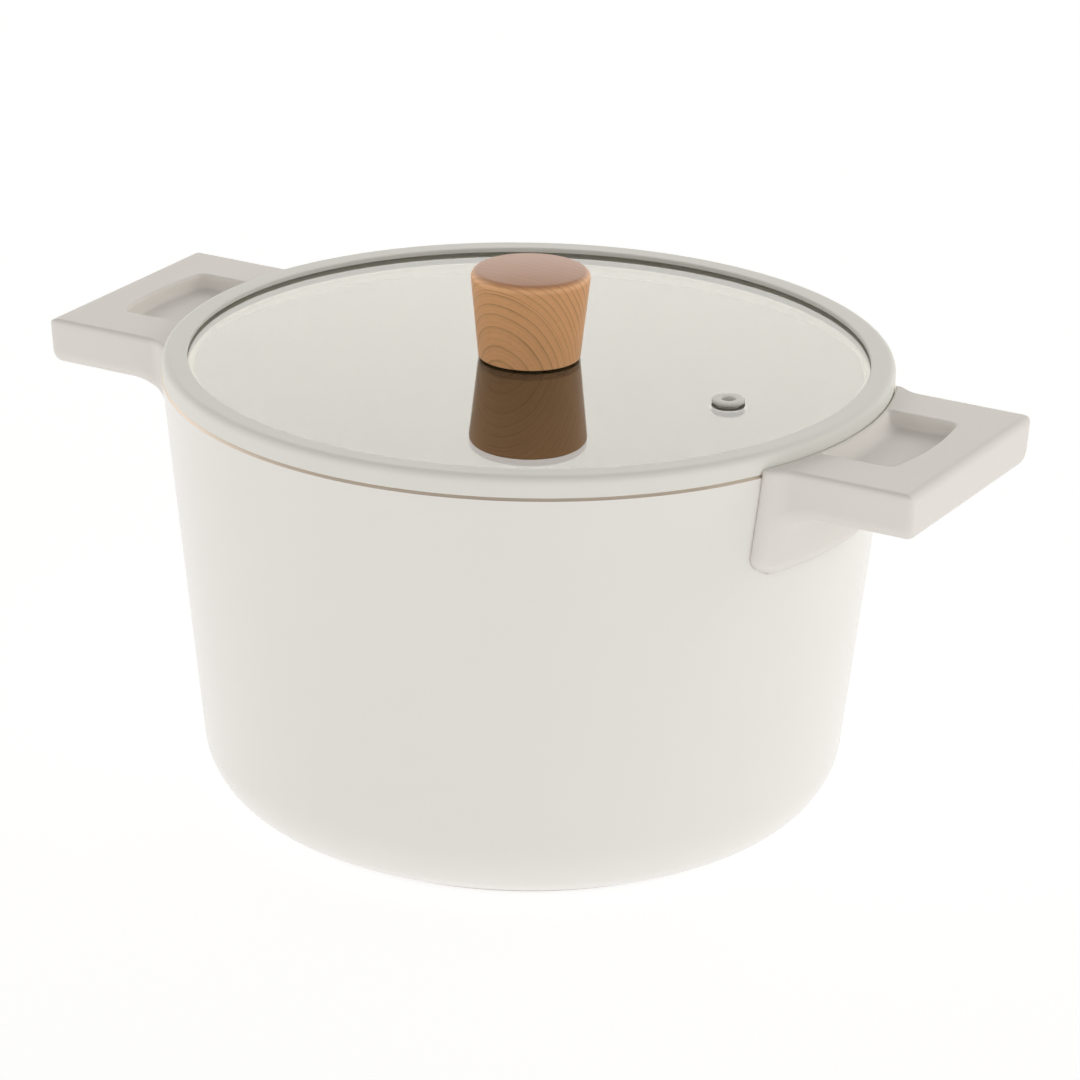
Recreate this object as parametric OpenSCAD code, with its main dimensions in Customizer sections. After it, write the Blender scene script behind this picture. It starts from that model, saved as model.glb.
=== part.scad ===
// Two-handled stock pot with a silicone-rimmed flat glass lid.
// Millimetres. +Z is up, the handles point along -X and +X, and the origin is
// the centre of the underside, on the surface that the pot stands on.

/* [Pot] */
// Outer radius of the pot wall at the rim
rim_r = 123.4; // [115:0.2:135]
// Height of the rim above the surface that the pot stands on
rim_z = 151.5; // [140:0.5:180]
// Lean of the wall away from vertical, in degrees
taper = 6.1; // [4:0.1:8]
// Thickness of the wall
wall_t = 3; // [2.4:0.2:4]
// Thickness of the aluminium floor
floor_t = 4.6; // [3:0.2:7]
// Outer radius of the corner between wall and floor
corner_r = 25.5; // [18:0.5:30]
// Width of the bare chamfer on the outer edge of the rim
rim_chamfer = 0.9; // [0.4:0.1:1.4]

/* [Base disc] */
// Radius of the steel disc under the floor
disc_r = 88.4; // [60:0.2:89]
// Thickness of the steel disc
disc_t = 1.2; // [0.6:0.1:2]
// Width of the chamfer on the lower edge of the disc
disc_chamfer = 0.4; // [0.1:0.1:0.5]

/* [Handles] */
// Distance from the pot axis to the upper outer edge of a grip
grip_x = 164.7; // [156:0.1:180]
// Width of the top of a grip along Y
grip_w = 91.6; // [80:0.2:94]
// Thickness of a grip
grip_t = 16.4; // [14:0.1:18]
// Height of the top of a grip above the rim
grip_rise = 2; // [1:0.1:3]
// Lean of the sides and the outer face of a grip, in degrees
grip_draft = 3; // [1:0.1:5]
// Radius of the upper outer edge of a grip
grip_brow_r = 3.2; // [1:0.1:4]
// Radius of the lower side edges of a grip
grip_side_r = 5; // [3:0.1:6]
// Radius of the upright edges of the grip
grip_corner_r = 2.7; // [1:0.1:5]
// Radius of the other edges of a grip
grip_edge_r = 1.8; // [1:0.1:2.4]
// Radius of the hollow blend under a grip
blend_r = 13; // [10:0.5:14]
// Width of the plate that lies on the pot wall
plate_w = 98; // [96:0.5:106]
// Thickness of that plate
plate_t = 3.4; // [2:0.1:4]
// Height of the lower edge of the plate
plate_z = 117; // [112:0.5:119]
// Radius of the lower corners of the plate
plate_corner_r = 6.5; // [4:0.5:10]

/* [Thumb pocket] */
// Width of the blind pocket in the top of a grip
pocket_w = 49.2; // [40:0.2:56]
// Distance from the pot axis to the middle of the outer side of the pocket
pocket_x = 149.8; // [145:0.2:153]
// Radius of the bowed outer side of the pocket
pocket_bow_r = 125; // [110:1:160]
// Depth of the pocket
pocket_depth = 4.8; // [4:0.1:8]
// Run of the slope on the side of the pocket that faces the pot
pocket_slope = 3.4; // [3:0.1:6]

/* [Handle fixings] */
// Distance of each screw from the middle of the handle
screw_y = 10.5; // [8:0.5:16]
// Height of the screws
screw_z = 132; // [130:0.5:132]
// Nominal radius of the screw thread
screw_r = 2; // [1.5:0.1:2.2]
// Radius of the threaded bosses welded to the wall
boss_r = 4; // [3.4:0.1:4.4]
// Distance from the pot axis to the outer end of a boss
boss_x = 125.4; // [124.8:0.1:126]
// Thickness of the handle wall that each screw clamps
web_t = 2.8; // [2:0.1:3]

/* [Lid] */
// Outer radius of the silicone rim
lid_r = 123; // [114:0.2:134]
// Height of the silicone rim above the pot rim
lid_h = 7.1; // [6.6:0.1:9]
// Radius of the opening in the top of the silicone rim
lid_open_r = 114.6; // [110:0.2:115.4]
// Radius of the upper outer edge of the silicone rim
lid_edge_r = 2.5; // [1:0.1:3]
// Radius of the glass
glass_r = 118; // [117:0.1:118.2]
// Thickness of the glass
glass_t = 4; // [3.4:0.1:4]
// Depth of the glass below the top of the silicone rim
glass_drop = 1.8; // [1.6:0.1:2]

/* [Steam vent] */
// Distance from the lid axis to the vent
vent_x = 78.5; // [50:0.1:100]
// Turn of the vent from +X, in degrees
vent_turn = -4; // [-180:0.1:180]
// Radius of the flange of the vent
vent_flange_r = 5.5; // [5.2:0.1:7]
// Radius of the hole through the vent
vent_hole_r = 2.4; // [1:0.05:3.4]
// Height of the vent above the glass
vent_h = 1.4; // [1.2:0.1:2]

/* [Knob] */
// Radius of the foot of the knob
knob_foot_r = 17.2; // [15:0.1:20]
// Radius of the knob where it is widest
knob_top_r = 20.3; // [18:0.1:24]
// Height of the knob
knob_h = 31.1; // [26:0.1:40]
// Radius of the upper edge of the knob
knob_edge_r = 2.6; // [2:0.1:5]
// Rise of the crown of the knob
knob_crown = 1; // [0.4:0.1:2]
// Radius of the spacer under the knob
spacer_r = 15.6; // [9:0.1:16.4]
// Thickness of that spacer
spacer_t = 0.5; // [0.5:0.1:2]

/* [Hidden] */
$fn = 96;

// Gap between parts that move past each other
clearance = 0.3;
// Gap between a thread or a shank and its hole
thread_gap = 0.05;
// Overshoot of a cutting shape past the face that it cuts
cut = 1;

// Heights
floor_z = disc_t + floor_t;
grip_top = rim_z + grip_rise;
grip_bottom = grip_top - grip_t;
lid_top = rim_z + lid_h;
glass_top = lid_top - glass_drop;
glass_bottom = glass_top - glass_t;
knob_z = glass_top + spacer_t;

// Lid rim section
skirt_r = 119.2;
skirt_t = 2.8;
skirt_depth = 6;
glass_lip_r = 112.6;
glass_lip_drop = 1.5;

// Thickness of the crest between the thumb pocket and the lid
crest_t = 1.3;

// Hardware
screw_head_r = 3.8;
screw_head_h = 2.8;
screw_end_gap = 0.6;
screw_pad_r = 5.4;
head_recess_r = 4.4;
spring_washer_t = 1;
spring_washer_r = 3.5;
spring_washer_slot = 0.6;
knob_screw_r = 2.5;
knob_screw_head_r = 5;
knob_screw_head_h = 3;
knob_screw_reach = 13;
insert_r = 4.4;
insert_h = 15;
insert_groove = 0.6;
washer_r = 8;
washer_t = 1;
gasket_r = 9;
gasket_t = 0.8;
glass_hole_r = 3.6;
vent_neck_r = 4.5;
vent_foot_r = 6;
vent_foot_t = 1.4;
cross_w = 1.1;
cross_depth = 1.6;

// Outer radius of the pot wall at a height
function wall_r(z) = rim_r - (rim_z - z) * tan(taper);

// Centre radius of a rounded floor corner that meets a leaning wall line
function corner_x(top_r, z, r) = top_r - (r + (rim_z - z - r) * sin(taper)) / cos(taper);

// Direction of a vector
function unit(v) = v / norm(v);

// Two tangent points and the centre of an arc that rounds a corner
function round_off(before, here, after, r) =
    let (back = unit(before - here), ahead = unit(after - here), half = acos(back * ahead) / 2)
    [here + r / tan(half) * back, here + r / tan(half) * ahead, here + r / sin(half) * unit(back + ahead)];

// Convex polygon with its own radius at each corner, where 0 leaves the corner sharp
module rounded_polygon(points, radii) {
    n = len(points);
    rounds = [for (i = [0:n - 1]) round_off(points[(i + n - 1) % n], points[i], points[(i + 1) % n], radii[i])];
    polygon([for (i = [0:n - 1]) each (radii[i] > 0 ? [rounds[i][0], rounds[i][1]] : [points[i]])]);
    for (i = [0:n - 1])
        if (radii[i] > 0) translate(rounds[i][2]) circle(r = radii[i]);
}

// ---------------------------------------------------------------- pot

// Half section of the solid inside one wall line, with a rounded floor corner
module pot_outline(top_r, z, r, rise) {
    x = corner_x(top_r, z, r);
    polygon([[0, z], [x, z],
             [x + r * cos(taper), z + r - r * sin(taper)],
             [top_r + rise * tan(taper), rim_z + rise],
             [0, rim_z + rise]]);
    translate([x, z + r]) circle(r = r);
}

module pot_shell() {
    inner_top_r = rim_r - wall_t / cos(taper);
    color([0.93, 0.92, 0.90])
    rotate_extrude()
        difference() {
            pot_outline(rim_r, disc_t, corner_r, 0);
            pot_outline(inner_top_r, floor_z, corner_r - wall_t, cut);
            polygon([[rim_r - rim_chamfer, rim_z],
                     [wall_r(rim_z - rim_chamfer), rim_z - rim_chamfer],
                     [rim_r + 3 * cut, rim_z + 3 * cut]]);
        }
}

module base_disc() {
    color([0.76, 0.74, 0.71])
    rotate_extrude()
        polygon([[0, 0], [disc_r - disc_chamfer, 0], [disc_r, disc_chamfer], [disc_r, disc_t], [0, disc_t]]);
}

// ---------------------------------------------------------------- handles
// Each piece of a handle is drawn on the +X side and turned half a turn for the left.

module on_side(left) {
    rotate([0, 0, left ? 180 : 0]) children();
}

// Everything that the handles must stay out of: the pot and the lid above it
module pot_space() {
    low = plate_z - 2 * cut;
    translate([0, 0, low]) cylinder(r1 = wall_r(low), r2 = rim_r, h = rim_z - low, $fn = 360);
    translate([0, 0, rim_z - cut]) cylinder(r = rim_r, h = lid_h + 3 * cut, $fn = 360);
}

// Side view of the grip, X to the right and Z up
module grip_side_view() {
    lean = grip_t * tan(grip_draft);
    rounded_polygon([[rim_r / 2, grip_bottom], [grip_x - lean, grip_bottom], [grip_x, grip_top], [rim_r / 2, grip_top]],
                    [0, grip_edge_r, grip_brow_r, 0]);
}

// End view of the grip, Y to the right and Z up, carried down to a lower height
module grip_end_view(low, low_r) {
    half = grip_w / 2;
    low_half = half - (grip_top - low) * tan(grip_draft);
    rounded_polygon([[-low_half, low], [low_half, low], [half, grip_top], [-half, grip_top]],
                    [low_r, low_r, grip_edge_r, grip_edge_r]);
}

// Plan of the grip, X to the right and Y up
module grip_plan() {
    half = grip_w / 2;
    rounded_polygon([[rim_r / 2, -half], [grip_x, -half], [grip_x, half], [rim_r / 2, half]],
                    [0, grip_corner_r, grip_corner_r, 0]);
}

// Extrudes a view that has Y to the right and Z up along +X
module along_x(length) {
    rotate([90, 0, 90]) linear_extrude(length) children();
}

// Bar that the hand holds
module grip() {
    intersection() {
        rotate([90, 0, 0]) linear_extrude(2 * grip_w, center = true) grip_side_view();
        along_x(2 * grip_x) grip_end_view(grip_bottom, grip_side_r);
        translate([0, 0, grip_bottom - cut]) linear_extrude(grip_t + 2 * cut) grip_plan();
    }
}

// Hollow blend that carries the grip down into the plate
module heel() {
    blend_z = grip_bottom - blend_r;
    blend_x = wall_r(blend_z) + plate_t + blend_r;
    intersection() {
        rotate_extrude()
            difference() {
                translate([rim_r / 2, blend_z]) square([blend_x - rim_r / 2, blend_r + cut]);
                translate([blend_x, blend_z]) circle(r = blend_r);
            }
        along_x(2 * grip_x) grip_end_view(blend_z, 0);
    }
}

// Plate that lies on the wall, with its top level with the grip
module wall_plate() {
    half = plate_w / 2;
    intersection() {
        rotate_extrude()
            polygon([[rim_r / 2, plate_z], [wall_r(plate_z) + plate_t, plate_z], [rim_r + plate_t, rim_z],
                     [rim_r + plate_t, grip_top], [rim_r / 2, grip_top]]);
        along_x(2 * grip_x)
            rounded_polygon([[-half, plate_z], [half, plate_z], [half, grip_top], [-half, grip_top]],
                            [plate_corner_r, plate_corner_r, 0, 0]);
    }
}

// Blind pocket in the top of the grip, bowed outwards and sloped towards the pot
module thumb_pocket() {
    pocket_floor = grip_top - pocket_depth;
    crest_r = rim_r + crest_t;
    difference() {
        translate([0, 0, pocket_floor])
            linear_extrude(pocket_depth + cut)
                intersection() {
                    translate([rim_r / 2, -pocket_w / 2]) square([grip_x, pocket_w]);
                    translate([pocket_x - pocket_bow_r, 0]) circle(r = pocket_bow_r);
                }
        translate([0, 0, pocket_floor - cut])
            cylinder(r1 = crest_r + pocket_slope * (1 + cut / pocket_depth), r2 = crest_r,
                     h = pocket_depth + cut);
        translate([0, 0, grip_top - cut]) cylinder(r = crest_r, h = 3 * cut);
    }
}

// Places its children on the axis of each screw, with +Z pointing away from the pot
module at_screws(x) {
    for (side = [-1, 1])
        translate([x, side * screw_y, screw_z]) rotate([0, 90, 0]) children();
}

module handle(left) {
    web_x = boss_x + web_t;
    color([0.85, 0.84, 0.81])
    on_side(left)
        difference() {
            union() {
                grip();
                heel();
                wall_plate();
                at_screws(rim_r / 2) cylinder(r = screw_pad_r, h = web_x - rim_r / 2);
            }
            pot_space();
            thumb_pocket();
            at_screws(rim_r / 2) cylinder(r = boss_r + clearance, h = boss_x + clearance - rim_r / 2);
            at_screws(rim_r / 2) cylinder(r = screw_r + clearance, h = web_x);
            at_screws(web_x) cylinder(r = head_recess_r, h = blend_r);
        }
}

module wall_bosses(left) {
    color([0.74, 0.74, 0.75])
    on_side(left)
        difference() {
            at_screws(rim_r / 2) cylinder(r = boss_r, h = boss_x - rim_r / 2);
            pot_space();
            at_screws(screw_end_x()) cylinder(r = screw_r + thread_gap, h = blend_r);
        }
}

// Distance from the pot axis to the inner end of a handle screw
function screw_end_x() = wall_r(screw_z) - (1 - cos(asin(screw_y / wall_r(screw_z)))) * wall_r(screw_z)
                         + screw_end_gap;

module handle_screws(left) {
    seat_x = boss_x + web_t + spring_washer_t;
    color([0.72, 0.73, 0.74])
    on_side(left) {
        at_screws(screw_end_x()) cylinder(r = screw_r, h = seat_x - screw_end_x() + cut);
        at_screws(seat_x) pan_head(screw_head_r, screw_head_h);
    }
}

// Pan head with a cross recess, its seat at the origin
module pan_head(r, h) {
    round_r = h / 3;
    difference() {
        rotate_extrude()
            union() {
                square([r - round_r, h]);
                square([r, h - round_r]);
                translate([r - round_r, h - round_r]) circle(r = round_r);
            }
        for (turn = [0, 90])
            rotate([0, 0, turn])
                translate([-r / 2, -cross_w / 2, h - cross_depth]) cube([r, cross_w, cross_depth + cut]);
    }
}

module spring_washers(left) {
    color([0.62, 0.63, 0.65])
    on_side(left)
        at_screws(boss_x + web_t)
            difference() {
                cylinder(r = spring_washer_r, h = spring_washer_t);
                translate([0, 0, -cut]) cylinder(r = screw_r + thread_gap, h = spring_washer_t + 2 * cut);
                translate([0, -spring_washer_slot / 2, -cut])
                    cube([spring_washer_r + cut, spring_washer_slot, spring_washer_t + 2 * cut]);
            }
}

// ---------------------------------------------------------------- lid

module lid_silicone_rim() {
    lip_top = glass_bottom - clearance;
    color([0.86, 0.85, 0.82])
    rotate_extrude()
        difference() {
            union() {
                translate([lid_open_r, rim_z]) square([lid_r - lid_edge_r - lid_open_r, lid_h]);
                translate([lid_open_r, rim_z]) square([lid_r - lid_open_r, lid_h - lid_edge_r]);
                translate([lid_r - lid_edge_r, lid_top - lid_edge_r]) circle(r = lid_edge_r);
                translate([glass_lip_r, rim_z - glass_lip_drop])
                    square([skirt_r - glass_lip_r, lip_top - rim_z + glass_lip_drop]);
                translate([skirt_r - skirt_t, rim_z - skirt_depth])
                    square([skirt_t, skirt_depth]);
            }
            translate([glass_lip_r - cut, lip_top])
                square([glass_r + clearance - glass_lip_r + cut, glass_t + 2 * clearance]);
        }
}

module lid_glass() {
    color([0.75, 0.80, 0.76, 0.5])
    difference() {
        translate([0, 0, glass_bottom]) cylinder(r = glass_r, h = glass_t);
        translate([0, 0, glass_bottom - cut]) cylinder(r = glass_hole_r, h = glass_t + 2 * cut);
        at_vent() translate([0, 0, glass_bottom - cut]) cylinder(r = vent_neck_r + thread_gap, h = glass_t + 2 * cut);
    }
}

module at_vent() {
    rotate([0, 0, vent_turn]) translate([vent_x, 0, 0]) children();
}

module steam_vent() {
    top = glass_top + vent_h;
    foot = glass_bottom - vent_foot_t;
    round_r = vent_h / 2;
    color([0.84, 0.84, 0.82])
    at_vent()
        rotate_extrude()
            difference() {
                union() {
                    translate([0, foot]) square([vent_neck_r, top - foot]);
                    translate([0, foot]) square([vent_foot_r, vent_foot_t]);
                    translate([0, glass_top]) square([vent_flange_r - round_r, vent_h]);
                    translate([vent_flange_r - round_r, glass_top + round_r]) circle(r = round_r);
                }
                translate([0, foot - cut]) square([vent_hole_r, top - foot + 2 * cut]);
            }
}

// ---------------------------------------------------------------- knob

// Half section of the knob: a taper, a rounded upper edge and a low crown
module knob_outline() {
    shoulder = knob_h - knob_crown;
    edge_x = knob_top_r - knob_edge_r;
    crown_r = (edge_x * edge_x + knob_crown * knob_crown) / (2 * knob_crown);
    polygon([[0, 0], [knob_foot_r, 0], [knob_top_r, shoulder - knob_edge_r], [edge_x, shoulder], [0, shoulder]]);
    translate([edge_x, shoulder - knob_edge_r]) circle(r = knob_edge_r);
    intersection() {
        translate([0, knob_h - crown_r]) circle(r = crown_r);
        translate([0, shoulder - cut]) square([edge_x, knob_crown + 2 * cut]);
    }
}

module knob() {
    color([0.76, 0.56, 0.42])
    translate([0, 0, knob_z])
        difference() {
            rotate_extrude()
                intersection() {
                    knob_outline();
                    square([2 * knob_top_r, 2 * knob_h]);
                }
            translate([0, 0, -cut]) cylinder(r = insert_r, h = insert_h + cut);
        }
}

// Threaded brass insert with two retaining grooves
module knob_insert() {
    color([0.80, 0.66, 0.36])
    translate([0, 0, knob_z])
        rotate_extrude()
            difference() {
                translate([knob_screw_r + thread_gap, 0]) square([insert_r - knob_screw_r - thread_gap, insert_h]);
                for (groove_z = [insert_h / 3, 2 * insert_h / 3])
                    translate([insert_r - insert_groove, groove_z - insert_groove])
                        square([insert_r, 2 * insert_groove]);
            }
}

module ring_plate(r, hole_r, z, h) {
    difference() {
        translate([0, 0, z]) cylinder(r = r, h = h);
        translate([0, 0, z - cut]) cylinder(r = hole_r, h = h + 2 * cut);
    }
}

module knob_spacer() {
    color([0.24, 0.15, 0.10])
    ring_plate(spacer_r, knob_screw_r + thread_gap, glass_top, spacer_t);
}

module knob_gasket() {
    color([0.90, 0.90, 0.88])
    ring_plate(gasket_r, knob_screw_r + thread_gap, glass_bottom - gasket_t, gasket_t);
}

module knob_washer() {
    color([0.74, 0.75, 0.76])
    ring_plate(washer_r, knob_screw_r + thread_gap, glass_bottom - gasket_t - washer_t, washer_t);
}

module knob_screw() {
    seat = glass_bottom - gasket_t - washer_t;
    color([0.72, 0.73, 0.74]) {
        translate([0, 0, seat]) rotate([180, 0, 0]) pan_head(knob_screw_head_r, knob_screw_head_h);
        translate([0, 0, seat - cut]) cylinder(r = knob_screw_r, h = knob_z + knob_screw_reach - seat + cut);
    }
}

pot_shell();
base_disc();
handle(true);  // left_handle
handle(false);  // right_handle
wall_bosses(true);  // left_wall_bosses
wall_bosses(false);  // right_wall_bosses
handle_screws(true);  // left_handle_screws
handle_screws(false);  // right_handle_screws
spring_washers(true);  // left_spring_washers
spring_washers(false);  // right_spring_washers
lid_silicone_rim();
lid_glass();
steam_vent();
knob();
knob_insert();
knob_spacer();
knob_screw();
knob_washer();
knob_gasket();
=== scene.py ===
"""Looks of the two-handled stock pot with a glass lid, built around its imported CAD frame.

Metres, +Z up, handles along -X and +X. Round pieces are turned from rounded outlines, the
handles are meshed from a distance field, and every material is procedural.
"""
import math

import bmesh
import bpy
import numpy as np
from mathutils import Matrix, Vector


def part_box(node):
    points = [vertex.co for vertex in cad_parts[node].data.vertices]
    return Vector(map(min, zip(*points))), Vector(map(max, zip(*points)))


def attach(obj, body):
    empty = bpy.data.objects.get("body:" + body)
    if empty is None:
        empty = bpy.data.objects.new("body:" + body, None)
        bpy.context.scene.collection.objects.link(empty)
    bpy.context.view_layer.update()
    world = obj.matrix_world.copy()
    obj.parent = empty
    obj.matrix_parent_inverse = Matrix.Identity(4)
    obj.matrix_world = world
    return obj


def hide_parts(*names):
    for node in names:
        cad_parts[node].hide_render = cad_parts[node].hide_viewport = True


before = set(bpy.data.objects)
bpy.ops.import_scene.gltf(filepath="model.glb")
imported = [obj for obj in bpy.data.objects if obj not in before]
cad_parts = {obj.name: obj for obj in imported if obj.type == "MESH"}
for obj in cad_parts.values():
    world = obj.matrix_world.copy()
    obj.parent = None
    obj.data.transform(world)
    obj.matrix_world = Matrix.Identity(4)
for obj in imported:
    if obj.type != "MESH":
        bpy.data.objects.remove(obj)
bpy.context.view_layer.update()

MM = 0.001
TURN = 2 * math.pi

# ---------------------------------------------------------------- sizes taken from the frame

SHELL_LOW, SHELL_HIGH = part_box("pot_shell")
RIM_R = SHELL_HIGH.x
RIM_Z = SHELL_HIGH.z
SHELL_Z = SHELL_LOW.z
DISC_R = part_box("base_disc")[1].x
LID_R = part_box("lid_silicone_rim")[1].x
LID_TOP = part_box("lid_silicone_rim")[1].z
SKIRT_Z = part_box("lid_silicone_rim")[0].z
GLASS_LOW, GLASS_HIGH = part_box("lid_glass")
GLASS_R = GLASS_HIGH.x
GLASS_TOP = GLASS_HIGH.z
GLASS_BOTTOM = GLASS_LOW.z
VENT_LOW, VENT_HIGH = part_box("steam_vent")
KNOB_LOW, KNOB_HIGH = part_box("knob")
KNOB_TOP_R = KNOB_HIGH.x
SPACER_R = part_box("knob_spacer")[1].x
PLATE_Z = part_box("right_handle")[0].z
PLATE_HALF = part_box("right_handle")[1].y
GRIP_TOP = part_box("right_handle")[1].z

# ---------------------------------------------------------------- sizes of details

TAPER = math.radians(6.1)
WALL_T = 3 * MM
FLOOR_T = 4.6 * MM
CORNER_R = 25.5 * MM
RIM_CHAMFER = 0.9 * MM

GRIP_X = 164.7 * MM
GRIP_HALF = 45.8 * MM
GRIP_T = 16.4 * MM
GRIP_DRAFT = math.tan(math.radians(3))
GRIP_BROW_R = 3.2 * MM
GRIP_SIDE_R = 5 * MM
GRIP_CORNER_R = 2.7 * MM
GRIP_EDGE_R = 1.8 * MM
BLEND_R = 13 * MM
PLATE_T = 3.4 * MM
PLATE_CORNER_R = 6.5 * MM
CREST_T = 1.3 * MM

POCKET_HALF = 24.6 * MM
POCKET_X = 149.8 * MM
POCKET_BOW_R = 125 * MM
POCKET_DEPTH = 4.8 * MM
POCKET_SLOPE = 3.4 * MM
POCKET_DRAFT = 0.16
# The pocket's inner wall leans, so that a level distance to it overstates the true one
POCKET_SLOPE_SHARE = 0.81

SCREW_Y = 10.5 * MM
SCREW_Z = 132 * MM
SCREW_PAD_R = 5.4 * MM
SCREW_SEAT_R = 4.4 * MM
SCREW_BORE_R = 2.3 * MM
WEB_X = 128.2 * MM
BOSS_CAVITY_R = 4.3 * MM
BOSS_CAVITY_X = 125.7 * MM

LID_OPEN_R = 114.6 * MM
LIP_R = 112.6 * MM
LIP_T = 1.5 * MM
SKIRT_R = 119.2 * MM
SKIRT_T = 2.8 * MM
GROOVE_PLAY = 0.3 * MM
# Less than the CAD's play, so that no gap shows above the glass
GROOVE_PLAY_SEEN = 0.05 * MM

VENT_FLANGE_R = 5.5 * MM
VENT_NECK_R = 4.5 * MM
VENT_HOLE_R = 2.4 * MM

KNOB_FOOT_R = 17.2 * MM
KNOB_BORE_R = 4.4 * MM
KNOB_BORE_DEPTH = 15 * MM
KNOB_CROWN = 1 * MM
KNOB_EDGE_R = 2.6 * MM
SPACER_BORE_R = 2.6 * MM

# ---------------------------------------------------------------- outlines and turned pieces

ARC_STEPS = 7
SEGMENTS = 256
MERGE = 1e-7
SUPPORT_SHARE = 0.3


def rounded(corners, closed=True, steps=ARC_STEPS):
    """Points of an outline whose corners, given as (x, z, radius), are rounded with arcs.

    A support point stands close to each end of an arc, so that smooth shading stays on it."""
    count = len(corners)
    points = []
    for i, (x, z, radius) in enumerate(corners):
        here = Vector((x, z))
        is_end = not closed and i in (0, count - 1)
        if radius <= 0 or is_end:
            points.append(tuple(here))
            continue
        back = Vector(corners[i - 1][:2]) - here
        ahead = Vector(corners[(i + 1) % count][:2]) - here
        half = back.angle(ahead) / 2
        reach = radius / math.tan(half)
        spare = max(min(back.length, ahead.length) - reach, 0)
        support = min(SUPPORT_SHARE * radius, SUPPORT_SHARE * spare)
        back.normalize()
        ahead.normalize()
        centre = here + (back + ahead).normalized() * radius / math.sin(half)
        start = here + back * reach - centre
        sweep = start.angle_signed(here + ahead * reach - centre)
        points.append(tuple(here + back * (reach + support)))
        for step in range(steps + 1):
            angle = -sweep * step / steps
            arm = Vector((start.x * math.cos(angle) - start.y * math.sin(angle),
                          start.x * math.sin(angle) + start.y * math.cos(angle)))
            points.append(tuple(centre + arm))
        points.append(tuple(here + ahead * (reach + support)))
    return points


def new_piece(name, verts, faces, materials):
    """A smooth mesh object with outward faces."""
    mesh = bpy.data.meshes.new(name)
    mesh.from_pydata(verts, [], faces)
    grid = bmesh.new()
    grid.from_mesh(mesh)
    bmesh.ops.remove_doubles(grid, verts=grid.verts, dist=MERGE)
    bmesh.ops.recalc_face_normals(grid, faces=grid.faces)
    grid.to_mesh(mesh)
    grid.free()
    mesh.shade_smooth()
    for material in materials:
        mesh.materials.append(material)
    piece = bpy.data.objects.new(name, mesh)
    bpy.context.scene.collection.objects.link(piece)
    return piece


def turned(name, outline, materials, centre=(0, 0), segments=SEGMENTS):
    """The closed outline of (radius, z) points turned about an upright axis."""
    angles = np.arange(segments) * TURN / segments
    points = np.array(outline)
    x = centre[0] + np.outer(np.cos(angles), points[:, 0])
    y = centre[1] + np.outer(np.sin(angles), points[:, 0])
    z = np.tile(points[:, 1], (segments, 1))
    verts = np.stack([x, y, z], axis=-1).reshape(-1, 3)
    count = len(points)
    faces = []
    for i in range(segments):
        here = i * count
        there = (i + 1) % segments * count
        for j in range(count):
            k = (j + 1) % count
            on_axis = points[j, 0] < MERGE and points[k, 0] < MERGE
            if not on_axis:
                faces.append((here + j, there + j, there + k, here + k))
    return new_piece(name, verts.tolist(), faces, materials)


def paint(piece, rule):
    """Gives each face the material index that rule(face centre, face normal) returns."""
    for face in piece.data.polygons:
        face.material_index = rule(face.center, face.normal)


def place(piece, body, slot, *nodes):
    """Puts a piece on its body and hides the CAD nodes that it stands for."""
    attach(piece, body)
    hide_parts(*nodes)


# ---------------------------------------------------------------- material helpers

# Most values of a noise texture lie between these
NOISE_SPAN = (0.3, 0.7)


def rgba_sockets(sockets):
    """The colour sockets of a Mix node, which has sockets of every type under the same names."""
    return [socket for socket in sockets if socket.type == "RGBA"]


def set_stops(ramp, stops):
    """Fills a colour ramp with (position, colour) stops."""
    while len(ramp.elements) < len(stops):
        ramp.elements.new(0.5)
    for element, (position, colour) in zip(ramp.elements, stops):
        element.position = position
        element.color = (*colour, 1)


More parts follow.
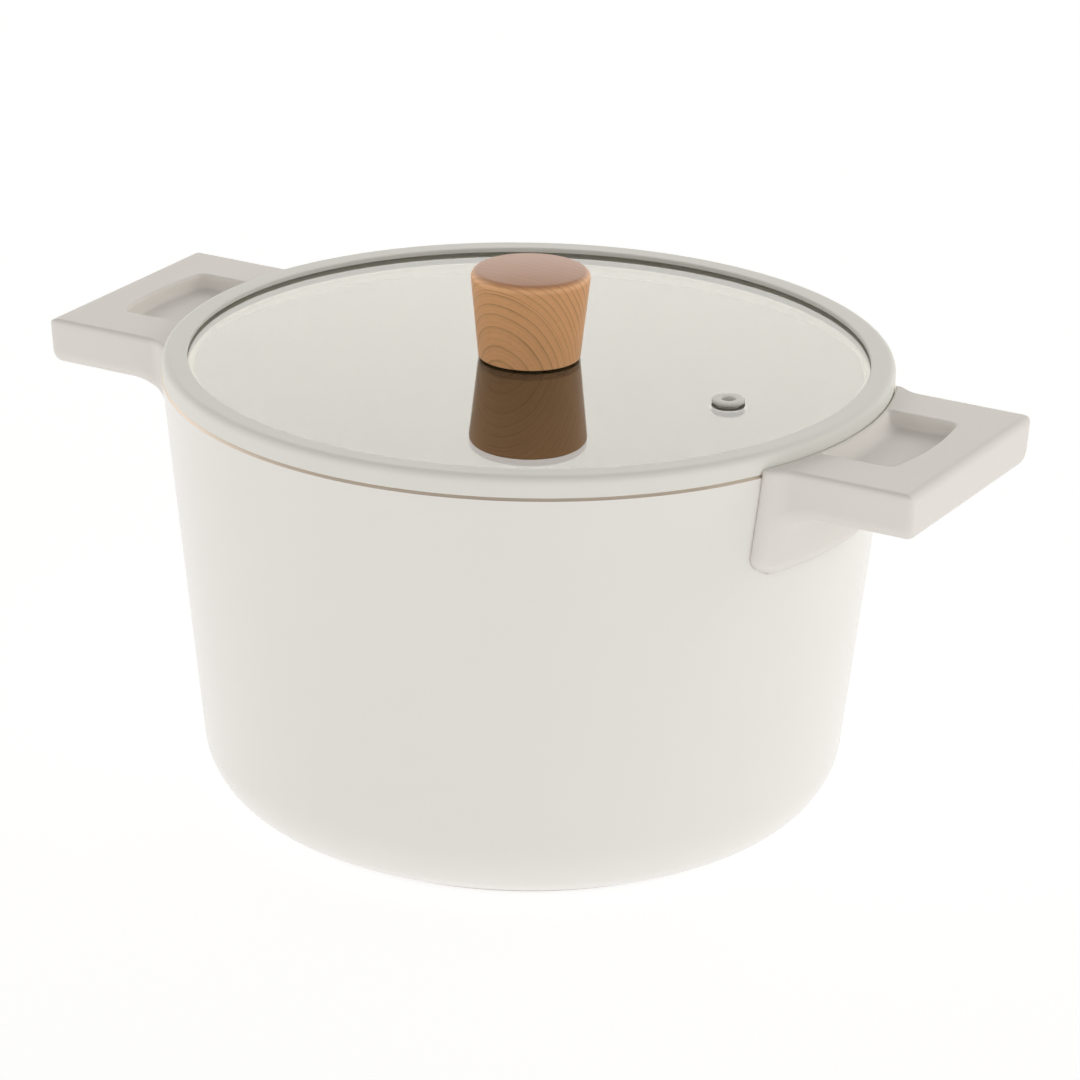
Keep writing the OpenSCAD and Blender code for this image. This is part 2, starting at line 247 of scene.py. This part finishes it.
class Shader:
    """A Principled material and short ways to add nodes to it."""

    def __init__(self, name):
        self.material = bpy.data.materials.new(name)
        self.material.use_nodes = True
        self.tree = self.material.node_tree
        self.tree.nodes.clear()
        output = self.tree.nodes.new("ShaderNodeOutputMaterial")
        self.shader = self.tree.nodes.new("ShaderNodeBsdfPrincipled")
        self.tree.links.new(self.shader.outputs["BSDF"], output.inputs["Surface"])
        self.coords = self.tree.nodes.new("ShaderNodeTexCoord").outputs["Object"]

    def link(self, value, socket):
        """Links a socket, or sets a plain value."""
        if isinstance(value, bpy.types.NodeSocket):
            self.tree.links.new(value, socket)
        elif isinstance(value, (tuple, list)) and len(value) == 3 and socket.type == "RGBA":
            socket.default_value = (*value, 1)
        else:
            socket.default_value = value

    def set(self, **values):
        """Sets the shader's sockets, named with _ for each space."""
        for name, value in values.items():
            self.link(value, self.shader.inputs[name.replace("_", " ")])

    def normal(self):
        """The surface's direction in the world."""
        return self.tree.nodes.new("ShaderNodeNewGeometry").outputs["Normal"]

    def math(self, operation, a, b=0.0):
        node = self.tree.nodes.new("ShaderNodeMath")
        node.operation = operation
        for socket, value in zip(node.inputs, (a, b)):
            self.link(value, socket)
        return node.outputs[0]

    def vector(self, operation, a, b=(0, 0, 0), output="Vector"):
        node = self.tree.nodes.new("ShaderNodeVectorMath")
        node.operation = operation
        self.link(a, node.inputs[0])
        self.link(b, node.inputs[1])
        return node.outputs[output]

    def combine(self, x, y=0.0, z=0.0):
        node = self.tree.nodes.new("ShaderNodeCombineXYZ")
        for socket, value in zip(node.inputs, (x, y, z)):
            self.link(value, socket)
        return node.outputs[0]

    def split(self, vector):
        node = self.tree.nodes.new("ShaderNodeSeparateXYZ")
        self.link(vector, node.inputs[0])
        return node.outputs

    def mapped(self, scale=(1, 1, 1), turn=(0, 0, 0), source=None):
        node = self.tree.nodes.new("ShaderNodeMapping")
        node.inputs["Rotation"].default_value = turn
        node.inputs["Scale"].default_value = scale
        self.link(source or self.coords, node.inputs["Vector"])
        return node.outputs[0]

    def noise(self, scale, detail=2.0, rough=0.5, source=None, output="Fac"):
        node = self.tree.nodes.new("ShaderNodeTexNoise")
        node.inputs["Scale"].default_value = scale
        node.inputs["Detail"].default_value = detail
        node.inputs["Roughness"].default_value = rough
        self.link(source or self.coords, node.inputs["Vector"])
        return node.outputs[output]

    def span(self, value, low, high, to_low=0.0, to_high=1.0):
        node = self.tree.nodes.new("ShaderNodeMapRange")
        for socket, number in zip(list(node.inputs)[:5], (value, low, high, to_low, to_high)):
            self.link(number, socket)
        return node.outputs[0]

    def ramp(self, value, *stops):
        node = self.tree.nodes.new("ShaderNodeValToRGB")
        set_stops(node.color_ramp, stops)
        self.link(value, node.inputs[0])
        return node.outputs[0]

    def mix(self, amount, a, b):
        node = self.tree.nodes.new("ShaderNodeMix")
        node.data_type = "RGBA"
        self.link(amount, node.inputs["Factor"])
        for socket, value in zip(rgba_sockets(node.inputs), (a, b)):
            self.link(value, socket)
        return rgba_sockets(node.outputs)[0]

    def bump(self, height, distance, strength):
        node = self.tree.nodes.new("ShaderNodeBump")
        node.inputs["Strength"].default_value = strength
        node.inputs["Distance"].default_value = distance
        self.link(height, node.inputs["Height"])
        return node.outputs[0]


def srgb(red, green, blue):
    """A colour given as display values from 0 to 255."""
    def linear(value):
        value /= 255
        return value / 12.92 if value <= 0.04045 else ((value + 0.055) / 1.055) ** 2.4
    return tuple(linear(value) for value in (red, green, blue))


# ---------------------------------------------------------------- materials

def pot_coat():
    """Smooth satin ivory coat under a thin clear gloss, with a faint orange peel and cloud."""
    s = Shader("pot_coat")
    cloud = s.noise(14, 3, 0.6)
    peel = s.noise(420, 1, 0.4)
    s.set(Base_Color=s.mix(cloud, srgb(226, 223, 217), srgb(230, 227, 222)),
          Roughness=s.span(peel, *NOISE_SPAN, 0.30, 0.34), Normal=s.bump(peel, 0.004 * MM, 0.4),
          Coat_Weight=0.35, Coat_Roughness=0.12, Specular_IOR_Level=0.4)
    return s.material


def bare_rim():
    """Turned aluminium left bare on the chamfer of the rim."""
    s = Shader("bare_rim")
    lathe_marks = s.noise(1, 2, 0.6, s.mapped((40, 40, 9000)))
    s.set(Base_Color=s.mix(lathe_marks, srgb(202, 187, 171), srgb(218, 205, 190)),
          Metallic=0.7, Roughness=s.span(lathe_marks, *NOISE_SPAN, 0.34, 0.5))
    return s.material


def inner_coat():
    """Dark olive grey non-stick coat with faint mineral specks."""
    s = Shader("inner_coat")
    speck = s.span(s.noise(1500, 2, 0.6), 0.6, 0.72)
    cloud = s.noise(18, 2, 0.5)
    ground = s.mix(cloud, srgb(108, 102, 82), srgb(114, 108, 88))
    tone = s.mix(s.math("MULTIPLY", speck, 0.3), ground, srgb(132, 126, 106))
    s.set(Base_Color=tone, Roughness=s.span(cloud, *NOISE_SPAN, 0.48, 0.54),
          Coat_Weight=0.1, Coat_Roughness=0.35)
    return s.material


def turned_metal(name, tone):
    """Metal with concentric turning marks about the pot's axis."""
    s = Shader(name)
    flat = s.vector("MULTIPLY", s.coords, (1, 1, 0))
    radius = s.vector("LENGTH", flat, output="Value")
    ring = s.noise(1, 3, 0.7, s.vector("MULTIPLY", s.combine(radius), (5000, 0, 0)))
    wide = s.noise(1, 2, 0.5, s.vector("MULTIPLY", s.combine(radius), (500, 0, 0)))
    s.set(Base_Color=s.mix(wide, tuple(c * 0.82 for c in tone), tone), Metallic=1.0,
          Roughness=s.span(ring, *NOISE_SPAN, 0.26, 0.42), Normal=s.bump(ring, 0.02 * MM, 0.6))
    return s.material


def phenolic():
    """Smooth warm grey moulding of the handles, with a fine even skin."""
    s = Shader("phenolic")
    cloud = s.noise(30, 3, 0.6)
    grain = s.noise(3200, 2, 0.6)
    s.set(Base_Color=s.mix(cloud, srgb(221, 216, 210), srgb(225, 221, 215)),
          Roughness=s.span(grain, *NOISE_SPAN, 0.50, 0.58), Normal=s.bump(grain, 0.01 * MM, 0.3),
          Specular_IOR_Level=0.3)
    return s.material


def silicone(name, low, high):
    """Matt silicone with a soft, slightly translucent body."""
    s = Shader(name)
    cloud = s.noise(40, 3, 0.6)
    skin = s.noise(2400, 2, 0.6)
    s.set(Base_Color=s.mix(cloud, low, high), Roughness=s.span(skin, *NOISE_SPAN, 0.56, 0.66),
          Normal=s.bump(skin, 0.01 * MM, 0.3), Specular_IOR_Level=0.25, Subsurface_Weight=0.08,
          Subsurface_Scale=1.0 * MM, Subsurface_Radius=(1.0, 0.9, 0.8))
    return s.material


def lid_glass():
    """Toughened glass with a faint olive smoke tint."""
    s = Shader("lid_glass_tinted")
    s.set(Base_Color=(0.84, 0.81, 0.70), Roughness=0.0, IOR=1.52, Transmission_Weight=1.0)
    return s.material


# ---------------------------------------------------------------- pot

def wall_radius(z, top_r=RIM_R):
    """Radius at height z of a wall that leans out to top_r at the rim's height."""
    return top_r - (RIM_Z - z) * math.tan(TAPER)


def build_pot_shell():
    floor_z = SHELL_Z + FLOOR_T
    inner_top = RIM_R - WALL_T / math.cos(TAPER)
    chamfer_z = RIM_Z - RIM_CHAMFER
    outline = rounded([
        (0, SHELL_Z, 0),
        (wall_radius(SHELL_Z), SHELL_Z, CORNER_R),
        (wall_radius(chamfer_z), chamfer_z, 0.15 * MM),
        (RIM_R - RIM_CHAMFER, RIM_Z, 0.15 * MM),
        (inner_top, RIM_Z, 0.3 * MM),
        (wall_radius(floor_z, inner_top), floor_z, CORNER_R - WALL_T),
        (0, floor_z, 0),
    ], closed=False, steps=20)
    shell = turned("pot_shell_coated", outline, [pot_coat(), bare_rim(), inner_coat()])

    def rule(centre, normal):
        """Index of the bare rim, the outer coat or the inner coat."""
        if centre.z > chamfer_z and math.hypot(centre.x, centre.y) > inner_top:
            return 1
        outward = normal.x * centre.x + normal.y * centre.y > 0 or normal.z < -0.2
        return 0 if outward else 2

    paint(shell, rule)
    place(shell, "pot", "pot_enamel", "pot_shell")


def build_base_disc():
    """Steel disc with a chamfered edge and shallow turned grooves in its underside."""
    groove_w = 0.5 * MM
    groove_d = 0.25 * MM
    chamfer = 0.4 * MM
    groove_round = 0.1 * MM
    corners = [(0, 0, 0)]
    for radius in np.linspace(0.2, 0.92, 10) * DISC_R:
        corners += [(radius - groove_w, 0, groove_round), (radius, groove_d, groove_round),
                    (radius + groove_w, 0, groove_round)]
    corners += [(DISC_R - chamfer, 0, 0.08 * MM), (DISC_R, chamfer, 0.08 * MM),
                (DISC_R, SHELL_Z, 0.05 * MM), (0, SHELL_Z, 0)]
    disc = turned("base_disc_turned", rounded(corners, closed=False, steps=3),
                  [turned_metal("disc_steel", srgb(202, 194, 184))])
    place(disc, "pot", "base_steel", "base_disc")


# ---------------------------------------------------------------- handles, as a distance field

def both_round(a, b, radius):
    """Distance to the intersection of two fields, with its edge rounded."""
    u = np.maximum(radius + a, 0)
    v = np.maximum(radius + b, 0)
    return np.minimum(-radius, np.maximum(a, b)) + np.hypot(u, v)


def either_round(a, b, radius):
    """Distance to the union of two fields, with its inner corner filled."""
    return -both_round(-a, -b, radius)


def handle_field(p):
    """Distance from points to the +X handle's surface, negative inside."""
    x, y, z = p[..., 0], p[..., 1], p[..., 2]
    side = np.abs(y)
    radius = np.hypot(x, y)
    off_wall = (radius - wall_radius(z)) * math.cos(TAPER)
    off_wall = np.where(z > RIM_Z, radius - RIM_R, off_wall)
    depth = GRIP_TOP - z

    # The grip, carried down into the wall by a hollow heel that starts under the plate's skin
    heel = either_round(off_wall, depth - GRIP_T, BLEND_R + PLATE_T)
    flank = side - (GRIP_HALF - GRIP_DRAFT * depth)
    face = x - (GRIP_X - GRIP_DRAFT * depth)
    grip = both_round(both_round(heel, flank, GRIP_SIDE_R), face, GRIP_CORNER_R)

    # The plate on the wall
    corner_y = side - (PLATE_HALF - PLATE_CORNER_R)
    corner_z = (PLATE_Z + PLATE_CORNER_R) - z
    edge = (np.minimum(np.maximum(corner_y, corner_z), 0)
            + np.hypot(np.maximum(corner_y, 0), np.maximum(corner_z, 0)) - PLATE_CORNER_R)
    plate = both_round(off_wall - PLATE_T, edge, 2.4 * MM)
    body = either_round(grip, plate, 4.5 * MM)

    # The pads that carry the screws
    from_screws = [np.hypot(y - turn * SCREW_Y, z - SCREW_Z) for turn in (-1, 1)]
    for from_axis in from_screws:
        pad = both_round(from_axis - SCREW_PAD_R, x - WEB_X, 0.6 * MM)
        body = either_round(body, pad, 1.0 * MM)

    # The top face, whose outer edge is rounder than the others
    body = np.maximum(both_round(body, -depth, GRIP_EDGE_R),
                      both_round(face, -depth, GRIP_BROW_R))

    # The thumb pocket
    draft = POCKET_DRAFT * depth
    sides = side - (POCKET_HALF - draft)
    bow = np.hypot(x - (POCKET_X - POCKET_BOW_R), y) - (POCKET_BOW_R - draft)
    slope_r = RIM_R + CREST_T + POCKET_SLOPE * np.clip(depth / POCKET_DEPTH, 0, 2)
    slope = (slope_r - radius) * POCKET_SLOPE_SHARE
    pocket = both_round(both_round(sides, bow, 2.5 * MM), slope, 1.6 * MM)
    pocket = both_round(pocket, depth - POCKET_DEPTH, 1.4 * MM)
    body = both_round(body, -pocket, 0.7 * MM)

    # The seats of the screws and the cavities for the bosses
    for from_axis in from_screws:
        seat = np.maximum(from_axis - SCREW_SEAT_R, WEB_X - x)
        cavity = np.maximum(from_axis - BOSS_CAVITY_R, x - BOSS_CAVITY_X)
        bore = from_axis - SCREW_BORE_R
        body = np.maximum(body, -np.minimum(np.minimum(cavity, bore), seat))
    return both_round(body, -off_wall, 0.35 * MM)


# Rounds of pulling a vertex onto the surface, and the least squared gradient that is trusted
PULLS = 4
LEAST_SLOPE = 0.2


def net_of_field(field, low, high, step):
    """Surface net of a distance field: vertices on the surface, and quads between them."""
    axes = [np.arange(a, b + step, step) for a, b in zip(low, high)]
    grid = np.stack(np.meshgrid(*axes, indexing="ij"), axis=-1)
    value = field(grid)
    inside = value < 0
    shape = np.array(value.shape)
    cells = shape - 1
    corners = [np.array((i, j, k)) for i in (0, 1) for j in (0, 1) for k in (0, 1)]
    total = sum(inside[tuple(slice(a, a + n) for a, n in zip(corner, cells))].astype(int)
                for corner in corners)
    active = (total > 0) & (total < len(corners))
    number = -np.ones(cells, int)
    number[active] = np.arange(active.sum())

    # A vertex starts at the mean of the crossings on its cell's edges
    where = np.argwhere(active)
    sums = np.zeros((len(where), 3))
    counts = np.zeros(len(where))
    for a in corners:
        for axis in range(3):
            if a[axis]:
                continue
            b = a.copy()
            b[axis] = 1
            va = value[tuple((where + a).T)]
            vb = value[tuple((where + b).T)]
            crossed = (va < 0) != (vb < 0)
            share = np.where(crossed, va / np.where(crossed, va - vb, 1), 0)
            point = where + a + share[:, None] * (b - a)
            sums += np.where(crossed[:, None], point, 0)
            counts += crossed
    verts = np.array(low) + step * sums / counts[:, None]

    # Then it is pulled onto the surface along the field's gradient, within its cell's reach
    start = verts.copy()
    nudge = 0.02 * step
    for _ in range(PULLS):
        gradient = np.stack([(field(verts + nudge * e) - field(verts - nudge * e)) / (2 * nudge)
                             for e in np.eye(3)], axis=-1)
        size = np.maximum((gradient ** 2).sum(-1), LEAST_SLOPE)
        verts = verts - field(verts)[:, None] * gradient / size[:, None]
        verts = start + np.clip(verts - start, -0.5 * step, 0.5 * step)

    # Four cells meet at each grid edge that the surface crosses, and their vertices make a quad
    quads = []
    for axis in range(3):
        other = [a for a in range(3) if a != axis]
        lower = [slice(1, n - 1) for n in shape]
        upper = [slice(1, n - 1) for n in shape]
        lower[axis] = slice(0, shape[axis] - 1)
        upper[axis] = slice(1, shape[axis])
        first = inside[tuple(lower)]
        second = inside[tuple(upper)]
        spots = np.argwhere(first != second)
        starts_inside = first[tuple(spots.T)]
        spots = spots + np.array([0 if a == axis else 1 for a in range(3)])
        step_a, step_b = np.eye(3, dtype=int)[other]
        around = (step_a + step_b, step_b, step_a * 0, step_a)
        ring = np.stack([number[tuple((spots - d).T)] for d in around], axis=-1)
        flip = starts_inside ^ (axis == 1)
        ring[~flip] = ring[~flip][:, ::-1]
        quads.append(ring)
    return verts, np.concatenate(quads)


HANDLE_STEP = 0.62 * MM


def build_handles():
    """Meshes the +X handle, and turns it half round for the other."""
    margin = 2 * MM
    low = (RIM_R * 0.88, -PLATE_HALF - margin, PLATE_Z - margin)
    high = (GRIP_X + margin, PLATE_HALF + margin, GRIP_TOP + margin)
    verts, quads = net_of_field(handle_field, low, high, HANDLE_STEP)
    material = phenolic()
    for name, turn in (("right", 1), ("left", -1)):
        placed = verts * np.array((turn, turn, 1))
        handle = new_piece(name + "_handle_moulded", placed.tolist(), quads.tolist(), [material])
        place(handle, "pot", "handle_phenolic", name + "_handle")


# ---------------------------------------------------------------- lid

def build_lid_rim():
    """Soft rim with a groove for the glass, and a skirt that reaches inside the pot."""
    groove_low = GLASS_BOTTOM - GROOVE_PLAY
    groove_high = GLASS_TOP + GROOVE_PLAY_SEEN
    groove_r = GLASS_R + GROOVE_PLAY
    outline = rounded([
        (LID_R, RIM_Z, 0.5 * MM),
        (LID_R, LID_TOP, 2.5 * MM),
        (LID_OPEN_R, LID_TOP, 0.55 * MM),
        (LID_OPEN_R, groove_high, 0.2 * MM),
        (groove_r, groove_high, 0.1 * MM),
        (groove_r, groove_low, 0.1 * MM),
        (LIP_R, groove_low, 0.3 * MM),
        (LIP_R, RIM_Z - LIP_T, 0.3 * MM),
        (SKIRT_R - SKIRT_T, RIM_Z - LIP_T, 0.3 * MM),
        (SKIRT_R - SKIRT_T, SKIRT_Z, 0.8 * MM),
        (SKIRT_R, SKIRT_Z, 0.8 * MM),
        (SKIRT_R, RIM_Z, 0.2 * MM),
    ])
    pale = silicone("rim_silicone", srgb(222, 221, 214), srgb(226, 225, 219))
    rim = turned("lid_rim_moulded", outline, [pale])
    place(rim, "lid_rim", "lid_silicone", "lid_silicone_rim")


def build_vent():
    """Grommet with a flange above the glass and a wider foot below it."""
    centre = ((VENT_LOW.x + VENT_HIGH.x) / 2, (VENT_LOW.y + VENT_HIGH.y) / 2)
    top = VENT_HIGH.z
    foot = VENT_LOW.z
    foot_r = (VENT_HIGH.x - VENT_LOW.x) / 2
    outline = rounded([
        (VENT_HOLE_R, foot, 0.4 * MM),
        (foot_r, foot, 0.5 * MM),
        (foot_r, GLASS_BOTTOM, 0.4 * MM),
        (VENT_NECK_R, GLASS_BOTTOM, 0.1 * MM),
        (VENT_NECK_R, GLASS_TOP, 0.1 * MM),
        (VENT_FLANGE_R, GLASS_TOP, 0.45 * MM),
        (VENT_FLANGE_R, top, 0.65 * MM),
        (VENT_HOLE_R, top, 0.5 * MM),
    ])
    pale = silicone("vent_silicone", srgb(216, 214, 207), srgb(221, 219, 213))
    vent = turned("steam_vent_moulded", outline, [pale], centre, segments=96)
    place(vent, "lid", "vent_silicone", "steam_vent")


# ---------------------------------------------------------------- knob

# The growth rings lie about a level axis beside the knob, turned from +X
GRAIN_TURN = math.radians(-5)
GRAIN_OFFSET = 67.8 * MM
GRAIN_DROP = 22.4 * MM
# Radii of the dark late-wood lines, and the span that holds them, in millimetres
RING_RADII = (51.5, 54.4, 56.2, 58.2, 61.35, 63.86, 65.92, 68.3, 69.0, 70.9, 72.6, 74.9,
              76.4, 78.8, 81.0, 82.7, 85.4, 87.6, 90.3, 92.4, 95.2, 97.6, 100.5)
RING_START = 50
RING_SPAN = 52
# Where the dark line sits between one growth ring and the next
LINE_PHASE = 0.95
SWAY = 1.1 * MM


def knob_wood():
    """Beech-toned wood: growth rings about a level axis, fibres along it and rays across it, with
    painted shade that darkens the faces that look up.
    """
    s = Shader("knob_wood_grain")
    axis_point = (GRAIN_OFFSET * math.sin(GRAIN_TURN), -GRAIN_OFFSET * math.cos(GRAIN_TURN),
                  KNOB_LOW.z - GRAIN_DROP)
    from_axis = s.vector("SUBTRACT", s.coords, axis_point)
    local = s.mapped(turn=(0, 0, -GRAIN_TURN), source=from_axis)
    drift = s.noise(1, 2, 0.5, s.vector("MULTIPLY", local, (30, 70, 70)), "Color")
    sway = s.vector("SUBTRACT", drift, (0.5, 0.5, 0.5))
    bent = s.vector("ADD", local, s.vector("MULTIPLY", sway, (0, SWAY, SWAY)))
    along, beside, above = s.split(bent)
    across = s.math("SQRT", s.math("ADD", s.math("MULTIPLY", beside, beside),
                                   s.math("MULTIPLY", above, above)))

    # The ramp turns the distance from the axis into a count of rings
    ring_count = len(RING_RADII)
    stops = [((radius - RING_START) / RING_SPAN, ((i + LINE_PHASE) / ring_count,) * 3)
             for i, radius in enumerate(RING_RADII)]
    share = s.math("DIVIDE", s.math("SUBTRACT", across, RING_START * MM), RING_SPAN * MM)
    phase = s.math("MULTIPLY", s.ramp(share, *stops), ring_count)
    late = s.math("FRACT", phase)
    fine = s.math("FRACT", s.math("MULTIPLY", phase, 3.0))
    rings = s.ramp(late, *((at, (level,) * 3) for at, level in (
        (0.0, 0.03), (0.55, 0.05), (0.80, 0.26), (0.92, 1.0), (0.965, 0.9), (1.0, 0.03))))
    rings = s.math("MULTIPLY", rings, s.span(s.noise(70, 1, 0.5), *NOISE_SPAN, 0.5, 1.0))

    fibre = s.noise(1, 3, 0.65, s.vector("MULTIPLY", local, (90, 2600, 2600)))
    angle = s.math("ARCTAN2", above, beside)
    ray = s.noise(1, 2, 0.6, s.combine(s.math("MULTIPLY", angle, 290),
                                       s.math("MULTIPLY", across, 260),
                                       s.math("MULTIPLY", along, 500)))
    # The side and crown tones are lit and shaded copies of one wood: faces that look up get the
    # darker crown tone, painted shade on the top of the knob
    painted_shade_up = s.split(s.normal())[2]
    side = s.mix(s.noise(45, 2, 0.5), srgb(245, 188, 134), srgb(239, 179, 125))
    crown = s.mix(s.noise(45, 2, 0.5), srgb(178, 127, 92), srgb(170, 119, 85))
    base = s.mix(s.span(painted_shade_up, 0.45, 0.97), side, crown)
    tone = s.mix(s.math("MULTIPLY", rings, 0.62), base, srgb(150, 102, 66))
    for marks, low, high, amount, colour in (
            (fine, 0.7, 0.95, 0.16, srgb(172, 121, 82)),
            (fibre, 0.45, 0.72, 0.14, srgb(166, 116, 80)),
            (ray, 0.5, 0.75, 0.22, srgb(176, 124, 86))):
        tone = s.mix(s.span(marks, low, high, 0.0, amount), tone, colour)
    height = s.math("ADD", s.math("MULTIPLY", rings, -0.6), s.math("MULTIPLY", fibre, 0.4))
    s.set(Base_Color=tone, Roughness=s.span(fibre, *NOISE_SPAN, 0.40, 0.50),
          Normal=s.bump(height, 0.03 * MM, 0.3),
          Coat_Weight=0.12, Coat_Roughness=0.28, Specular_IOR_Level=0.35)
    return s.material


def build_knob():
    """Tapered knob whose crown, a parabola, runs smoothly out of its rounded edge."""
    bore_top = KNOB_LOW.z + KNOB_BORE_DEPTH
    side = rounded([
        (KNOB_BORE_R, bore_top, 0),
        (KNOB_BORE_R, KNOB_LOW.z, 0.3 * MM),
        (KNOB_FOOT_R, KNOB_LOW.z, 0.35 * MM),
        (KNOB_TOP_R + 0.02 * MM, KNOB_HIGH.z - 1.35 * KNOB_CROWN, KNOB_EDGE_R),
        (0, KNOB_HIGH.z + KNOB_CROWN, 0),
    ], closed=False, steps=12)

    # The points after the edge's arc give way to the crown
    edge_x, edge_z = side[-3]
    rise = KNOB_HIGH.z - edge_z
    crowned = [(edge_x * share, KNOB_HIGH.z - rise * share ** 2)
               for share in np.linspace(1, 0, 14)[1:]]
    outline = [(0, bore_top)] + side[:-2] + crowned
    knob = turned("knob_turned", outline, [knob_wood()], segments=160)
    place(knob, "lid", "knob_wood", "knob")


def build_spacer():
    """Brown ring between the knob and the glass."""
    outline = rounded([
        (SPACER_BORE_R, GLASS_TOP, 0.1 * MM),
        (SPACER_R, GLASS_TOP, 0.25 * MM),
        (SPACER_R, KNOB_LOW.z, 0.25 * MM),
        (SPACER_BORE_R, KNOB_LOW.z, 0.1 * MM),
    ])
    brown = silicone("spacer_brown", srgb(58, 38, 26), srgb(66, 44, 31))
    spacer = turned("knob_spacer_moulded", outline, [brown], segments=128)
    place(spacer, "lid", "spacer_silicone", "knob_spacer")


# ---------------------------------------------------------------- CAD nodes that keep their shape

def dress(node, material):
    """Gives a CAD node one material."""
    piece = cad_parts[node]
    piece.data.materials.clear()
    piece.data.materials.append(material)


def dress_hardware():
    """Materials of the fixings, the gasket and the glass."""
    bright = turned_metal("screw_bright", srgb(205, 205, 206))
    bosses = turned_metal("boss_machined", srgb(214, 214, 216))
    brass = turned_metal("insert_turned", srgb(214, 176, 104))
    for side in ("left", "right"):
        dress(side + "_wall_bosses", bosses)
        dress(side + "_handle_screws", bright)
        dress(side + "_spring_washers", bright)
    dress("knob_insert", brass)
    dress("knob_screw", bright)
    dress("knob_washer", bright)
    dress("knob_gasket", silicone("gasket_pale", srgb(214, 212, 205), srgb(222, 220, 214)))
    dress("lid_glass", lid_glass())


# ---------------------------------------------------------------- camera, floor and light

AZIMUTH = math.radians(29.469)
ELEVATION = math.radians(21.941)
ROLL = math.radians(-0.999)
PAN = math.radians(-0.178)
TILT = math.radians(0.995)
DISTANCE = 1.6988
AIM_HEIGHT = 0.05904
LENS = 165.093
SENSOR = 36

# Turn of the brightest part of the studio wall from straight behind the pot, in degrees
LIGHT_TURN = -18
# Brightness of the wall from in front of the pot to behind it
WALL_LEVELS = [(-0.95, 0.84), (-0.3, 1.42), (0.3, 1.85), (0.7, 2.1), (0.86, 2.35)]
# Brightness of what lies behind the wall, from the floor to the zenith
CEILING_LEVELS = [(0.0, 1.0), (0.5, 0.5), (1.0, 0.28)]
# How far the wall reaches up
WALL_SHARE = [(0.03, 0.0), (0.18, 1.0), (0.48, 1.0), (0.62, 0.0)]
# Shares of red, green and blue in the studio's slightly warm light
LIGHT_TINT = (1, 0.985, 0.96)


def build_camera():
    """Camera aimed at the pot's axis, then rolled, tilted and panned."""
    back = Vector((math.sin(AZIMUTH) * math.cos(ELEVATION),
                   -math.cos(AZIMUTH) * math.cos(ELEVATION), math.sin(ELEVATION)))
    right = Vector((math.cos(AZIMUTH), math.sin(AZIMUTH), 0))
    up = back.cross(right)
    aimed = Matrix((right, up, -back))
    rolled = Matrix.Rotation(ROLL, 3, "Z") @ aimed
    tilted = Matrix.Rotation(TILT, 3, "X") @ rolled
    panned = Matrix.Rotation(PAN, 3, "Y") @ tilted
    data = bpy.data.cameras.new("camera")
    data.lens = LENS
    data.sensor_width = SENSOR
    camera = bpy.data.objects.new("camera", data)
    bpy.context.scene.collection.objects.link(camera)
    axes = Matrix((panned[0], panned[1], -panned[2])).transposed()
    spot = Vector((0, 0, AIM_HEIGHT)) + back * DISTANCE
    camera.matrix_world = Matrix.Translation(spot) @ axes.to_4x4()
    bpy.context.scene.camera = camera


def build_floor():
    """Pale floor that glows a little, so that it stays white under the pot's soft shadow."""
    size = 8
    corners = [(-size, -size, 0), (size, -size, 0), (size, size, 0), (-size, size, 0)]
    mesh = bpy.data.meshes.new("floor")
    mesh.from_pydata(corners, [], [(0, 1, 2, 3)])
    floor = bpy.data.objects.new("floor", mesh)
    bpy.context.scene.collection.objects.link(floor)
    s = Shader("floor_pale")
    s.set(Base_Color=(0.34, 0.34, 0.34), Roughness=0.9, Specular_IOR_Level=0.0,
          Emission_Color=(1, 1, 1), Emission_Strength=0.76)
    mesh.materials.append(s.material)


def build_light():
    """A white studio: a tall bright wall, brightest behind the pot, under a dim ceiling."""
    world = bpy.data.worlds.new("studio")
    bpy.context.scene.world = world
    world.use_nodes = True
    tree = world.node_tree
    tree.nodes.clear()
    output = tree.nodes.new("ShaderNodeOutputWorld")
    background = tree.nodes.new("ShaderNodeBackground")
    tree.links.new(background.outputs[0], output.inputs[0])
    direction = tree.nodes.new("ShaderNodeTexCoord").outputs["Generated"]

    def along(axis):
        dot = tree.nodes.new("ShaderNodeVectorMath")
        dot.operation = "DOT_PRODUCT"
        tree.links.new(direction, dot.inputs[0])
        dot.inputs[1].default_value = axis
        return dot.outputs["Value"]

    def levels(value, stops):
        """Tinted light that follows a value from -1 to 1 through (value, level) stops."""
        half = tree.nodes.new("ShaderNodeMapRange")
        half.inputs["From Min"].default_value = -1
        tree.links.new(value, half.inputs["Value"])
        ramp = tree.nodes.new("ShaderNodeValToRGB")
        set_stops(ramp.color_ramp, [((at + 1) / 2, tuple(part * level for part in LIGHT_TINT))
                                    for at, level in stops])
        tree.links.new(half.outputs["Result"], ramp.inputs[0])
        return ramp.outputs[0]

    toward = AZIMUTH + math.radians(LIGHT_TURN)
    wall = levels(along((-math.sin(toward), math.cos(toward), 0)), WALL_LEVELS)
    ceiling = levels(along((0, 0, 1)), CEILING_LEVELS)
    share = levels(along((0, 0, 1)), WALL_SHARE)
    mix = tree.nodes.new("ShaderNodeMix")
    mix.data_type = "RGBA"
    tree.links.new(share, mix.inputs["Factor"])
    for socket, colour in zip(rgba_sockets(mix.inputs), (ceiling, wall)):
        tree.links.new(colour, socket)
    tree.links.new(rgba_sockets(mix.outputs)[0], background.inputs["Color"])
    background.inputs["Strength"].default_value = 1.0


# ---------------------------------------------------------------- build

build_camera()
build_floor()
build_light()
build_pot_shell()
build_base_disc()
build_handles()
build_lid_rim()
build_vent()
build_knob()
build_spacer()
dress_hardware()
bpy.context.scene.view_settings.view_transform = "Standard"
